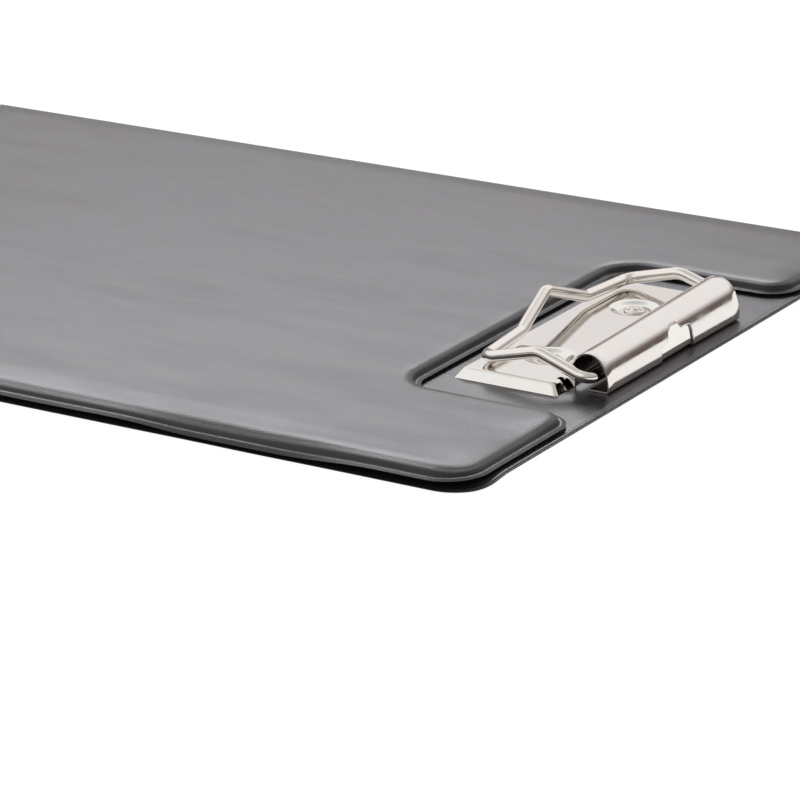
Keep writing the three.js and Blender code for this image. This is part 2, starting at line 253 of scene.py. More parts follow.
def curve(a, b, c, steps):
    """Points on the quadratic curve from a to c that b pulls, without a itself."""
    found = []
    for step in range(1, steps + 1):
        t = step / steps
        found.append(tuple((1 - t) ** 2 * p + 2 * t * (1 - t) * q + t * t * r
                           for p, q, r in zip(a, b, c)))
    return found


# ------------------------------------------------------------------ panel outlines
def cover_corners(inset, open_inset):
    """Corners of the cover, with the notch for the clip in its rear edge."""
    x0, x1 = COVER_LOW.x + inset, COVER_HIGH.x - open_inset
    y0, y1 = COVER_LOW.y + inset, COVER_HIGH.y - inset
    free, spine = max(FREE_RADIUS - inset, 3), max(SPINE_RADIUS - inset, 0.5)
    mouth, inner = max(MOUTH_RADIUS - inset, 3), NOTCH_RADIUS + inset
    wall, front = NOTCH_HALF + inset, NOTCH_FRONT - inset
    return [
        (x1, y0, free), (x1, y1, free), (wall, y1, mouth), (wall, front, inner),
        (-wall, front, inner), (-wall, y1, mouth), (x0, y1, spine), (x0, y0, spine),
    ]


COVER_CUTS = rounded(cover_corners(0, 0))[1]


def cover_ring(inset, open_inset=None):
    open_inset = inset if open_inset is None else open_inset
    return rounded(cover_corners(inset, open_inset), steps=COVER_CUTS)[0]


def back_corners(inset):
    x0, x1 = BACK_LOW.x + inset, BACK_HIGH.x - inset
    y0, y1 = BACK_LOW.y + inset, BACK_HIGH.y - inset
    free, spine = max(FREE_RADIUS - inset, 3), max(SPINE_RADIUS - inset, 0.5)
    return [(x1, y0, free), (x1, y1, free), (x0, y1, spine), (x0, y0, spine)]


BACK_CUTS = rounded(back_corners(0))[1]


def back_ring(inset):
    return rounded(back_corners(inset), steps=BACK_CUTS)[0]


def cover_droop(x, y, inset):
    """How far the cover's thin rim hangs down where the foil was pulled in by the weld."""
    rim = max(0.0, 1 - inset / 4)
    open_side = ease(x, OPEN_SIDE, OPEN_SIDE + 18)
    waves = 0.10 * noise.noise(Vector((x * 0.03, y * 0.045, 3.1)))
    sag = 0.25 + 1.35 * math.exp(-(((y - 94) / 30) ** 4)) + 0.55 * bump_at(y, 20, 45)
    return rim * (waves - open_side * sag)


def cover_roll(x, y, inset):
    """The foil is stretched over the card's edge: it starts to fall well inside the rim, except
    along the last stretch of the open edge and round the notch."""
    clear_of_notch = max(ease(abs(x), NOTCH_HALF + 8, NOTCH_HALF + 20), 1 - ease(y, 84, 100))
    tight = ease(x, OPEN_SIDE, OPEN_SIDE + 14) * ease(y, 92, 122) * (1 - ease(y, 150, 160))
    return 0.55 * (1 - ease(inset, 2.6, 13.5)) * ease(inset, 1.4, 2.6) * clear_of_notch * (1 - tight)


def back_level(x, y, z, inset):
    """Height on the back, whose rim is pressed low along the open long edge."""
    waves = 0.06 * noise.noise(Vector((x * 0.03, y * 0.04, 9.4)))
    press = (1.45 + waves) * ease(x, OPEN_SIDE + 2, OPEN_SIDE + 16) * (1 - ease(inset, WELD_INSET, 4.4))
    return z - press * min(1.0, z / 2.2)


# ------------------------------------------------------------------ materials
def node_material(name):
    material = bpy.data.materials.new(name)
    material.use_nodes = True
    nodes, links = material.node_tree.nodes, material.node_tree.links
    return material, nodes, links, nodes["Principled BSDF"]


def texture(nodes, links, kind, scale, stretch=(1, 1, 1), **settings):
    """A procedural texture in the piece's own metres."""
    place = nodes.new("ShaderNodeTexCoord")
    mapping = nodes.new("ShaderNodeMapping")
    mapping.inputs["Scale"].default_value = stretch
    made = nodes.new(kind)
    made.inputs["Scale"].default_value = scale
    for key, value in settings.items():
        made.inputs[key].default_value = value
    links.new(place.outputs["Object"], mapping.inputs["Vector"])
    links.new(mapping.outputs["Vector"], made.inputs["Vector"])
    return made


def ramp(nodes, links, source, stops):
    made = nodes.new("ShaderNodeValToRGB")
    elements = made.color_ramp.elements
    while len(elements) < len(stops):
        elements.new(0.5)
    for element, (position, value) in zip(elements, stops):
        element.position = position
        element.color = (*value, 1) if isinstance(value, tuple) else (value, value, value, 1)
    links.new(source, made.inputs["Fac"])
    return made


def bump(nodes, links, height, strength, distance, under=None):
    made = nodes.new("ShaderNodeBump")
    made.inputs["Strength"].default_value = strength
    made.inputs["Distance"].default_value = distance
    links.new(height, made.inputs["Height"])
    if under:
        links.new(under.outputs["Normal"], made.inputs["Normal"])
    return made


def pvc(name, colour, rough, grain, sheen):
    """Calendered PVC foil with a fine leather grain, faint scuffs and a cool bloom at low angles."""
    material, nodes, links, shader = node_material(name)
    shader.inputs["IOR"].default_value = 1.5
    shader.inputs["Specular IOR Level"].default_value = 0.5
    shader.inputs["Sheen Weight"].default_value = sheen
    shader.inputs["Sheen Roughness"].default_value = 0.3
    shader.inputs["Sheen Tint"].default_value = (0.95, 0.93, 1.0, 1)
    cells = texture(nodes, links, "ShaderNodeTexVoronoi", 1800, Randomness=1.0)
    pores = texture(nodes, links, "ShaderNodeTexNoise", 3200, Detail=2.0)
    drift = texture(nodes, links, "ShaderNodeTexNoise", 14, Detail=3.0)
    scuff = texture(nodes, links, "ShaderNodeTexNoise", 90, (1, 0.25, 1), Detail=5.0)
    light, dark = tuple(c * 1.25 for c in colour), tuple(c * 0.8 for c in colour)
    tint = ramp(nodes, links, drift.outputs["Fac"], [(0.35, dark), (0.65, light)])
    links.new(tint.outputs["Color"], shader.inputs["Base Color"])
    dull = ramp(nodes, links, scuff.outputs["Fac"], [(0.3, rough - 0.05), (0.7, rough + 0.06)])
    links.new(dull.outputs["Color"], shader.inputs["Roughness"])
    fine = bump(nodes, links, pores.outputs["Fac"], grain * 0.5, 0.00008)
    leather = bump(nodes, links, cells.outputs["Distance"], grain, 0.00016, fine)
    links.new(leather.outputs["Normal"], shader.inputs["Normal"])
    return material


def nickel(name, tint, rough):
    """Bright nickel plate: faint rolling marks, light haze and a warm cast."""
    material, nodes, links, shader = node_material(name)
    shader.inputs["Metallic"].default_value = 1.0
    haze = texture(nodes, links, "ShaderNodeTexNoise", 160, Detail=4.0)
    lines = texture(nodes, links, "ShaderNodeTexNoise", 900, (0.04, 1, 1), Detail=3.0)
    warm = tuple(c * k for c, k in zip(tint, (1.0, 0.965, 0.925)))
    colour = ramp(nodes, links, haze.outputs["Fac"], [(0.35, warm), (0.65, tint)])
    links.new(colour.outputs["Color"], shader.inputs["Base Color"])
    dull = ramp(nodes, links, haze.outputs["Fac"], [(0.35, rough * 0.7), (0.7, rough * 1.5)])
    links.new(dull.outputs["Color"], shader.inputs["Roughness"])
    marks = bump(nodes, links, lines.outputs["Fac"], 0.10, 0.00002)
    waves = bump(nodes, links, haze.outputs["Fac"], 0.10, 0.00006, marks)
    links.new(waves.outputs["Normal"], shader.inputs["Normal"])
    return material


def pressed_board(name):
    """Raw greyboard: matt, flecked and fibrous."""
    material, nodes, links, shader = node_material(name)
    flecks = texture(nodes, links, "ShaderNodeTexNoise", 1500, (1, 0.3, 1), Detail=6.0)
    colour = ramp(nodes, links, flecks.outputs["Fac"],
                  [(0.3, (0.22, 0.2, 0.17)), (0.7, (0.42, 0.39, 0.34))])
    links.new(colour.outputs["Color"], shader.inputs["Base Color"])
    shader.inputs["Roughness"].default_value = 0.95
    rough = bump(nodes, links, flecks.outputs["Fac"], 0.4, 0.0001)
    links.new(rough.outputs["Normal"], shader.inputs["Normal"])
    return material


PVC_OUTER = pvc("pvc_outer_grain", (0.0062, 0.0057, 0.0062), 0.36, 0.22, 0.2)
PVC_INNER = pvc("pvc_inner_satin", (0.0070, 0.0064, 0.0068), 0.32, 0.2, 0.15)
GREYBOARD = pressed_board("greyboard_raw")
NICKEL_PLATE = nickel("nickel_plate_polish", (0.83, 0.82, 0.80), 0.075)
NICKEL_ROLLER = nickel("nickel_roller_polish", (0.80, 0.775, 0.755), 0.11)
NICKEL_RIVET = nickel("nickel_rivet_polish", (0.78, 0.745, 0.71), 0.12)
# Painted shade: the roller sleeve's inner face gets a dark, duller colour that stands in for the shade
# inside the curl.
ROLLER_INSIDE_SHADE = nickel("roller_inside_painted_shade", (0.16, 0.14, 0.13), 0.34)
NICKEL_WIRE = nickel("nickel_wire_polish", (0.84, 0.81, 0.78), 0.10)


# ------------------------------------------------------------------ front cover
def cover_shell():
    """The outer foil over its card: a flat top, soft shoulders, a weld groove and a thin rim.
    Rows are (inset, inset at the open long edge, z)."""
    top, rim = COVER_HIGH.z, COVER_RIM + 0.6
    rows = [
        (1.0, 1.0, COVER_RIM + 0.04), (0.35, 0.35, COVER_RIM + 0.06), (0.08, 0.08, COVER_RIM + 0.14),
        (0, 0, COVER_RIM + 0.16), (0.08, 0.08, rim - 0.40), (0.3, 0.3, rim - 0.34), (0.7, 0.7, rim - 0.2),
        (1.1, 1.1, rim - 0.06), (1.45, 1.45, rim - 0.02), (1.7, 1.75, rim - 0.1), (1.85, 2.0, rim + 0.06),
        (2.0, 2.2, rim + 0.42), (2.2, 2.5, rim + 0.84), (2.5, 3.1, rim + 1.28),
        (2.9, 3.9, top - 0.62), (3.5, 4.8, top - 0.34), (4.3, 5.8, top - 0.15), (5.2, 7.0, top - 0.05),
        (6.3, 8.4, top - 0.01), (7.6, 10.0, top), (9.2, 11.8, top), (11.2, 13.6, top), (14, 15.6, top),
    ]
    bm = bmesh.new()
    rings = stack(bm, [
        [(p.x, p.y, z + cover_droop(p.x, p.y, inset) - cover_roll(p.x, p.y, inset))
         for p in cover_ring(inset, open_inset)]
        for inset, open_inset, z in rows
    ])
    cap(bm, rings[0])
    cap(bm, rings[-1])
    piece(bm, "cover_shell", PVC_OUTER, "cover", ["cover_outer_foil"])


def cover_board():
    """The greyboard inside the cover, its edges crushed down under the stretched foil."""
    low, high = box_mm("cover_card")
    margin, open_margin = low.x - COVER_LOW.x, COVER_HIGH.x - high.x
    rows = [(0, high.z - 0.5), (0.4, high.z - 0.3), (1.5, high.z - 0.12), (3, high.z - 0.06),
            (5, high.z - 0.04), (7.5, high.z - 0.04), (10, high.z - 0.04)]
    loops = [[(p.x, p.y, low.z) for p in cover_ring(margin, open_margin)]]
    for inset, z in rows:
        loops.append([
            (p.x, p.y, z - cover_roll(p.x, p.y, margin + inset))
            for p in cover_ring(margin + inset, open_margin + inset)
        ])
    bm = bmesh.new()
    rings = stack(bm, loops)
    cap(bm, rings[0])
    cap(bm, rings[-1])
    piece(bm, "cover_board", GREYBOARD, "cover", ["cover_card"])


def cover_lining():
    """The inner foil, welded to the shell just inside its rim."""
    low = COVER_RIM
    rows = [(9.0, low), (4.2, low), (3.3, low), (2.6, low), (2.1, low + 0.03), (1.7, low + 0.1),
            (1.3, low + 0.02), (0.7, low), (0.45, low + 0.02), (0.38, low + 0.1), (0.5, low + 0.16),
            (3.0, low + 0.16)]
    bm = bmesh.new()
    rings = stack(bm, [
        [(p.x, p.y, z + cover_droop(p.x, p.y, inset)) for p in cover_ring(inset)] for inset, z in rows
    ])
    cap(bm, rings[0])
    cap(bm, rings[-1])
    piece(bm, "cover_lining", PVC_INNER, "cover", ["cover_inner_foil"])


# ------------------------------------------------------------------ back board
def circle(centre, radius, z, steps=ROUND_SIDES):
    """A level ring of points round a centre."""
    return [(centre.x + radius * math.cos(2 * math.pi * k / steps),
             centre.y + radius * math.sin(2 * math.pi * k / steps), z) for k in range(steps)]


def rivet_centre(side):
    low, high = RIVETS[side]
    return (low + high) / 2


def back_loops(rows):
    """Loops of the back's outline for rows of (inset, z)."""
    return [[(p.x, p.y, back_level(p.x, p.y, z, inset)) for p in back_ring(inset)] for inset, z in rows]


def back_shell():
    """The outer foil under the back's card, with a dimple round each rivet's tail."""
    rim = BACK_TOP - 0.6
    rows = [
        (3.0, rim + 0.34), (0.4, rim + 0.36), (0.1, rim + 0.3), (0, rim + 0.16), (0.1, rim + 0.05),
        (0.35, rim), (1.3, rim), (1.6, rim + 0.04), (1.85, rim - 0.1), (2.05, rim - 0.5),
        (2.3, rim - 1.1), (2.6, 0.72), (3.1, 0.36), (3.8, 0.12), (4.8, 0.02), (6.2, 0), (8.0, 0),
    ]
    dimple = [(9.4, 0), (8.3, 0), (7.8, 0.12), (7.0, 0.55), (6.4, 0.85), (5.8, 0.95), (5.2, 0.95)]
    bm = bmesh.new()
    rings = stack(bm, back_loops(rows))
    mouths = []
    for side in RIVETS:
        loops = stack(bm, [circle(rivet_centre(side), radius, z, 40) for radius, z in dimple])
        cap(bm, loops[-1])
        mouths.append(loops[0])
    cap(bm, rings[0])
    cap(bm, rings[-1], *mouths)
    piece(bm, "back_shell", PVC_OUTER, "back_board", ["back_outer_foil"])


def back_lining():
    """The inner foil on top of the back: flat, with a shallow weld line inside its edge."""
    top = BACK_TOP
    rows = [(3.0, top - 0.24), (0.95, top - 0.24), (0.7, top - 0.2), (0.62, top - 0.1),
            (0.75, top - 0.02), (1.1, top + 0.01), (1.5, top - 0.02), (1.8, top - 0.09),
            (2.1, top - 0.03), (2.8, top), (4.5, top), (7.0, top)]
    bm = bmesh.new()
    rings = stack(bm, back_loops(rows))
    cap(bm, rings[0])
    cap(bm, rings[-1])
    piece(bm, "back_lining", PVC_INNER, "back_board", ["back_inner_foil"])


# ------------------------------------------------------------------ live fold along the spine
def fold_strip(name, line, thickness, material, nodes):
    """A foil strip of even thickness that follows a line of (x, z) points."""
    half = BACK_HIGH.y
    stations = 60
    section = []
    for side in (1, -1):
        half_line = []
        for index, (x, z) in enumerate(line):
            before, after = line[max(index - 1, 0)], line[min(index + 1, len(line) - 1)]
            along = Vector((after[0] - before[0], after[1] - before[1])).normalized()
            shift = side * thickness / 2
            half_line.append((x - along.y * shift, z + along.x * shift))
        section += half_line if side == 1 else half_line[::-1]
    loops = []
    for k in range(stations + 1):
        y = -half + 2 * half * k / stations
        wave = 0.05 * noise.noise(Vector((0.0, y * 0.03, 5.0)))
        loops.append([(x + wave, y, z) for x, z in section])
    bm = bmesh.new()
    rings = stack(bm, loops)
    bm.faces.new(rings[0])
    bm.faces.new(rings[-1])
    made = piece(bm, name, material, None, nodes)
    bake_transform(made)
    return made


def spine_folds():
    """Two foils, each in two strips that meet on the spine's flat."""
    back_hinge, cover_hinge = HINGES["spine_hinge"], HINGES["cover_hinge"]
    joint_x = (back_hinge.x + cover_hinge.x) / 2
    foil = 0.28
    for label, offset, material, slot, node in (
        ("outer", -foil / 2 - 0.02, PVC_OUTER, "pvc_outer", "spine_outer_foil"),
        ("inner", foil / 2 + 0.02, PVC_INNER, "pvc_inner", "spine_inner_foil"),
    ):
        level = (STRIP_LOW.z + STRIP_TOP) / 2 + offset
        flat = [(BACK_LOW.x + 0.25 - k * (BACK_LOW.x + 0.25 - joint_x) / 16, level) for k in range(17)]
        fold_strip("spine_fold_" + label, flat, foil, material,
                   [node])
        radius = cover_hinge.z - level
        centre_x = COVER_LOW.x + 0.35
        turn = [(joint_x + k * (centre_x - joint_x) / 6, level) for k in range(6)]
        for step in range(33):
            angle = math.pi * step / 32
            turn.append((centre_x - radius * math.sin(angle), cover_hinge.z - radius * math.cos(angle)))
        turn.append((centre_x + 0.5, cover_hinge.z + radius))
        fold_strip("cover_fold_" + label, turn, foil, material,
                   [])


# ------------------------------------------------------------------ clip base plate
def soft_max(a, b, softness):
    """The larger of two numbers, with a rounded change-over."""
    d = max(softness - abs(a - b), 0) / softness
    return max(a, b) + d * d * softness / 4


def bevel_drop(distance, depth, reach):
    """Height lost at a distance outside the flat: a rounded shoulder, then a straight slope."""
    turn = 0.55
    slope = depth / reach
    if distance <= -turn:
        return 0.0
    if distance < turn:
        return slope * (distance + turn) ** 2 / (4 * turn)
    return slope * distance


def graded(low, high, coarse, marks, fine=0.16, spread=0.8):
    """Grid lines from low to high: coarse in the open, close together round each mark."""
    count = max(1, round((high - low) / coarse))
    lines = {low + (high - low) * k / count for k in range(count + 1)}
    for mark in marks:
        steps = round(spread / fine)
        lines |= {mark + fine * k for k in range(-steps, steps + 1)}
    kept = [low]
    for line in sorted(lines):
        if line - kept[-1] > fine * 0.6 and high - line > fine * 0.6:
            kept.append(line)
    return kept + [high]


def clip_plate():
    """The pressed plate: a mirror-flat top, a bevelled skirt with soft corners, a dish round each
    rivet, and a slot that leaves a lug at each rear corner."""
    half = (PLATE_HIGH.x - PLATE_LOW.x) / 2 - PLATE_BEVEL
    middle = (PLATE_HIGH.x + PLATE_LOW.x) / 2
    front, rear = PLATE_LOW.y + PLATE_BEVEL, PLATE_LOW.y + PLATE_BEVEL + PLATE_LENGTH
    depth = PLATE_FLAT - BACK_TOP - 0.03
    slot, lug = (38.6, 40.6), (34.8, 38.6)
    lug_rear = rear + 3.4
    spacing, corner_softness, slit = 0.42, 1.3, 0.25
    slot_marks = [middle + s * k for s in (-1, 1) for k in (*slot, *lug)]
    xs = graded(middle - half - PLATE_BEVEL, middle + half + PLATE_BEVEL, spacing,
                [middle - half, middle + half, *slot_marks])
    ys = graded(front - PLATE_BEVEL, lug_rear, spacing, [front, rear])

    def height(x, y):
        side_reach = abs(x - middle) - half
        end_reach = max(front - y, y - rear)
        away = abs(x - middle)
        if y > rear - 1.5 and lug[0] < away < lug[1]:
            end_reach = front - y
        distance = soft_max(side_reach, end_reach, corner_softness)
        z = PLATE_FLAT - bevel_drop(distance, depth, PLATE_BEVEL)
        for side in RIVETS:
            centre = rivet_centre(side)
            radius = math.hypot(x - centre.x, y - centre.y)
            z -= DISH_DEPTH * (1 - ease(radius, DISH_RADIUS - DISH_SLOPE, DISH_RADIUS))
        return z

    bm = bmesh.new()
    grid = [[bm.verts.new((x, y, height(x, y))) for y in ys] for x in xs]
    for i in range(len(xs) - 1):
        for j in range(len(ys) - 1):
            x, y = (xs[i] + xs[i + 1]) / 2, (ys[j] + ys[j + 1]) / 2
            away = abs(x - middle)
            in_slot = slot[0] < away < slot[1] and y > rear - 1.3
            past_skirt = y > rear + PLATE_BEVEL and not lug[0] + slit < away < lug[1]
            in_slit = lug[0] < away < lug[0] + slit and y > rear - 0.3
            if in_slot or past_skirt or in_slit:
                continue
            bm.faces.new((grid[i][j], grid[i + 1][j], grid[i + 1][j + 1], grid[i][j + 1]))
    bmesh.ops.delete(bm, geom=[v for v in bm.verts if not v.link_faces], context="VERTS")
    made = piece(bm, "clip_plate", NICKEL_PLATE, "back_board", ["clip_base_plate"])
    thicken(made, PLATE_SHEET, -1, sharp=40)


def tongue():
    """The plate's rear tongue: forward under the roller, then up through its window to a cut tip.
    The outline gives (across, height) from its open-side foot, going towards the spine."""
    outline = [(0, 3.7), (3.7, 4.1), (5.1, 6.4), (6.9, 8.0), (10.4, 7.8), (11.7, 6.7), (12.6, 5.9),
               (14.2, 6.0), (16.2, 5.5), (17.1, 4.3)]
    foot_z, near_x = 3.9, CLIP_X + 8.55
    wall_y, wall_foot, low_z = ROLLER_HIGH.y - 0.95, 4.6, BACK_TOP + 0.4
    bend = 1.2
    columns_wide = 38
    width = outline[-1][0]
    xs = sorted({round(width * k / columns_wide, 3) for k in range(columns_wide + 1)}
                | {x for x, _ in outline})

    def wall(z):
        return wall_y - 0.17 * max(0.0, z - 5.5)

    columns = []
    bm = bmesh.new()
    for across in xs:
        top = foot_z + height_on(outline, across)
        points = [(wall(z), z) for z in [top + (wall_foot - top) * k / 14 for k in range(15)]]
        for step in range(1, 9):
            turn = math.pi / 2 * step / 8
            points.append((wall_y - bend + bend * math.cos(turn), low_z + bend - bend * math.sin(turn)))
        points.append((wall_y - 6, low_z))
        points.append((wall_y - 11.5, low_z))
        points.append((PLATE_LOW.y + PLATE_BEVEL + PLATE_LENGTH - 0.2, PLATE_FLAT - 0.5))
        columns.append([bm.verts.new((near_x - across, y, z)) for y, z in points])
    for first, second in zip(columns, columns[1:]):
        skin(bm, first, second, closed=False)
    made = piece(bm, "clip_tongue", NICKEL_PLATE, "back_board")
    thicken(made, 0.6, 0, soft=0.08)


# ------------------------------------------------------------------ spring roller
def roller_section(share):
    """Side view of the sleeve from its front lip over the top to its heel. Share is 0 at the open
    side and 1 at the far end, where the rear wall leans out a little more."""
    centre_y, centre_z, radius = 154.57, 8.25, 5.54
    lip, lean = math.radians(203), math.radians(24)
    found = []
    for step in range(57):
        turn = lip + (lean - lip) * step / 56
        found.append((centre_y + radius * math.cos(turn), centre_z + radius * math.sin(turn)))
    knee = (ROLLER_REAR - 0.06 + 0.25 * share, centre_z - 0.6 - 1.4 * share)
    return found + curve(found[-1], knee, ROLLER_HEEL, 24)


def lengths_along(line):
    """Distance from the start of a line to each of its points."""
    lengths = [0.0]
    for (y0, z0), (y1, z1) in zip(line, line[1:]):
        lengths.append(lengths[-1] + math.hypot(y1 - y0, z1 - z0))
    return lengths


def length_down_to(line, lengths, z):
    """Distance along a section to where its rear side comes down to a height."""
    over_top = max(range(len(line)), key=lambda k: line[k][1])
    for k in range(over_top, len(line) - 1):
        if line[k + 1][1] <= z:
            share = (line[k][1] - z) / (line[k][1] - line[k + 1][1])
            return lengths[k] + share * (lengths[k + 1] - lengths[k])
    return lengths[-1]


def point_along(line, lengths, length):
    for k in range(len(line) - 1):
        if length <= lengths[k + 1]:
            share = (length - lengths[k]) / (lengths[k + 1] - lengths[k])
            return tuple(a + (b - a) * share for a, b in zip(line[k], line[k + 1]))
    return line[-1]


def roller():
    """A C-shaped sleeve: round at the top, open to the front, with a rear wall that leans out to a
    foot lip, and a stepped window for the tongue. It grows a little towards its far end."""
    taper_y, taper_z, taper = 154.5, 2.75, 0.13
    side_cut, rows, wall_rows = 4.3, 64, 10
    half, middle = (ROLLER_HIGH.x - ROLLER_LOW.x) / 2, CLIP_X - ROLLER_X
    lower = curve(ROLLER_HEEL, (ROLLER_REAR, ROLLER_FOOT), (ROLLER_REAR - 1.1, ROLLER_FOOT), 8)
    lower += [(156.6, ROLLER_FOOT), (155.2, ROLLER_FOOT), (154.6, ROLLER_FOOT + 0.05)]
    window = [(-8.9, 4.5), (-8.2, 6.2), (-5.8, 6.5), (-3.9, 6.5), (-3.0, 7.3), (-1.6, 8.5), (1.6, 8.75),
              (3.4, 7.0), (4.6, 4.9), (8.2, 4.5), (8.9, 4.3)]
    window = [(x + middle, z) for x, z in window]
    edges = (window[0][0], window[-1][0])
    xs = graded(-half, half, 3.0, [x for x, _ in window], 0.25, 0.5)
    xs = sorted({x for x in xs if all(abs(x - e) > 0.12 for e in edges)} | set(edges))

    bm = bmesh.new()
    columns, feet = [], []
    for across in xs:
        share = (half - across) / (2 * half)
        section = roller_section(share)
        lengths = lengths_along(section)
        in_window = edges[0] < across < edges[1]
        cut = height_on(window, across) if in_window else side_cut
        end = length_down_to(section, lengths, ROLLER_FOOT + cut)
        base = length_down_to(section, lengths, ROLLER_FOOT + side_cut)
        grow = 1 + taper * share

        def placed(y, z):
            return (ROLLER_X + across, taper_y + (y - taper_y) * grow, taper_z + (z - taper_z) * grow)

        upper = [point_along(section, lengths, end * k / rows) for k in range(rows + 1)]
        wall = [point_along(section, lengths, base + (lengths[-1] - base) * k / wall_rows)
                for k in range(1, wall_rows + 1)]
        columns.append(ring(bm, [placed(y, z) for y, z in upper]))
        feet.append(ring(bm, [placed(y, z) for y, z in wall + lower]))
    for index, (first, second) in enumerate(zip(columns, columns[1:])):
        skin(bm, first, second, closed=False)
        inside = edges[0] <= xs[index] and xs[index + 1] <= edges[1]
        if not inside:
            skin(bm, [first[-1], *feet[index]], [second[-1], *feet[index + 1]], closed=False)
    bmesh.ops.delete(bm, geom=[v for v in bm.verts if not v.link_faces], context="VERTS")
    made = piece(bm, "roller_sleeve", NICKEL_ROLLER, "back_board", ["spring_roller"])
    # The sleeve's inner face takes the dark painted-shade colour.
    thicken(made, 0.5, -1, inner=ROLLER_INSIDE_SHADE, soft=0.06)


# ------------------------------------------------------------------ rivets
def rivets():
    """Each rivet is turned from (radius, z) points, and so is the washer round its tail."""
    head = PLATE_FLAT - DISH_DEPTH
    for side in RIVETS:
        centre = rivet_centre(side)
        profile = [
            (0.3, 0.35), (1.2, 0.3), (1.6, 0.12), (2.2, 0.06), (2.75, 0.12), (2.9, 0.3), (2.7, 0.44),
            (1.7, 0.46), (1.7, head - 0.1), (3.1, head - 0.05), (3.25, head + 0.15), (3.2, head + 0.36),
            (2.95, head + 0.56), (2.6, head + 0.66), (2.25, head + 0.62), (2.0, head + 0.46),
            (1.85, head + 0.40), (1.7, head + 0.5), (1.55, head + 0.8), (1.25, head + 1.08),
            (0.85, head + 1.25), (0.4, head + 1.32), (0.02, head + 1.34),
        ]
        bm = bmesh.new()
        rings = stack(bm, [circle(centre, radius, z) for radius, z in profile])
        cap(bm, rings[0])
        cap(bm, rings[-1])
        piece(bm, "rivet_head_" + side, NICKEL_RIVET, "back_board", ["rivet_" + side], 40)

        low, high = box_mm("rivet_washer_" + side)
        outer = (high.x - low.x) / 2
        washer = [
            (2.0, low.z + 0.04), (2.1, low.z), (outer - 0.25, low.z), (outer - 0.06, low.z + 0.06),
            (outer, low.z + 0.2), (outer - 0.08, high.z - 0.03), (outer - 0.3, high.z), (2.1, high.z),
            (2.0, high.z - 0.05),
        ]
        bm = bmesh.new()
        rings = stack(bm, [circle(centre, radius, z) for radius, z in washer])
        skin(bm, rings[-1], rings[0])
        piece(bm, "washer_" + side, NICKEL_RIVET, "back_board",
              ["rivet_washer_" + side], 40)


# ------------------------------------------------------------------ wire bail
def arc_path(bends, step=0.35):
    """Straight stretches joined by true arcs, as evenly spaced points with their directions."""
    points = [Vector(bends[0][0])]
    for index in range(1, len(bends) - 1):
        here, radius = Vector(bends[index][0]), bends[index][1]
        before = (Vector(bends[index - 1][0]) - here).normalized()
        after = (Vector(bends[index + 1][0]) - here).normalized()
        opening = before.angle(after)
        if opening > math.pi - 0.02:
            points.append(here)
            continue
        reach = radius / math.tan(opening / 2)
        centre = here + (before + after).normalized() * (radius / math.sin(opening / 2))
        start, end = here + before * reach, here + after * reach
        sweep = math.pi - opening
        count = max(4, round(sweep * radius / step))
        for k in range(count + 1):
            share = k / count
            arm = (start - centre).normalized().slerp((end - centre).normalized(), share)
            points.append(centre + arm * radius)
    points.append(Vector(bends[-1][0]))
    return points


def wire_bail():
    """Round wire bent to the bail: a pin inside each end of the roller, raised arms, a front bar
    with the finger hump in its middle."""
    half = [
        ((32, PIVOT.y, PIVOT.z), 0), ((40.6, PIVOT.y, PIVOT.z), 2.6), ((40.6, 152.6, 8.1), 3),
        ((40.2, 139.8, 12.5), 6), ((40.5, 122.1, 8.0), 4.2), ((17.9, 120.9, 8.8), 5.5),
        ((0, 118.4, 15.4), 3.6),
    ]
    bends = [((CLIP_X + x, y, z), r) for (x, y, z), r in half]
    bends += [((CLIP_X - x, y, z), r) for (x, y, z), r in half[-2::-1]]
    path = arc_path(bends)
    loops = []
    normal = Vector((0, 0, 1))
    for index, point in enumerate(path):
        before, after = path[max(index - 1, 0)], path[min(index + 1, len(path) - 1)]
        along = (after - before).normalized()
        normal = (normal - along * normal.dot(along)).normalized()
        across = along.cross(normal)
        loop = []
        for k in range(WIRE_SIDES):
            turn = 2 * math.pi * k / WIRE_SIDES
            loop.append(point + (normal * math.cos(turn) + across * math.sin(turn)) * WIRE_RADIUS)
        loops.append(loop)
    bm = bmesh.new()
    rings = stack(bm, loops)
    for end, outward in ((rings[0], path[0] - path[1]), (rings[-1], path[-1] - path[-2])):
        centre = sum((v.co for v in end), Vector()) / len(end)
        lip = ring(bm, [centre + (v.co - centre) * 0.8 + outward.normalized() * 0.3 for v in end])
        skin(bm, end, lip)
        bm.faces.new(lip)
    piece(bm, "bail_wire", NICKEL_WIRE, "bail", ["wire_bail"], 50)


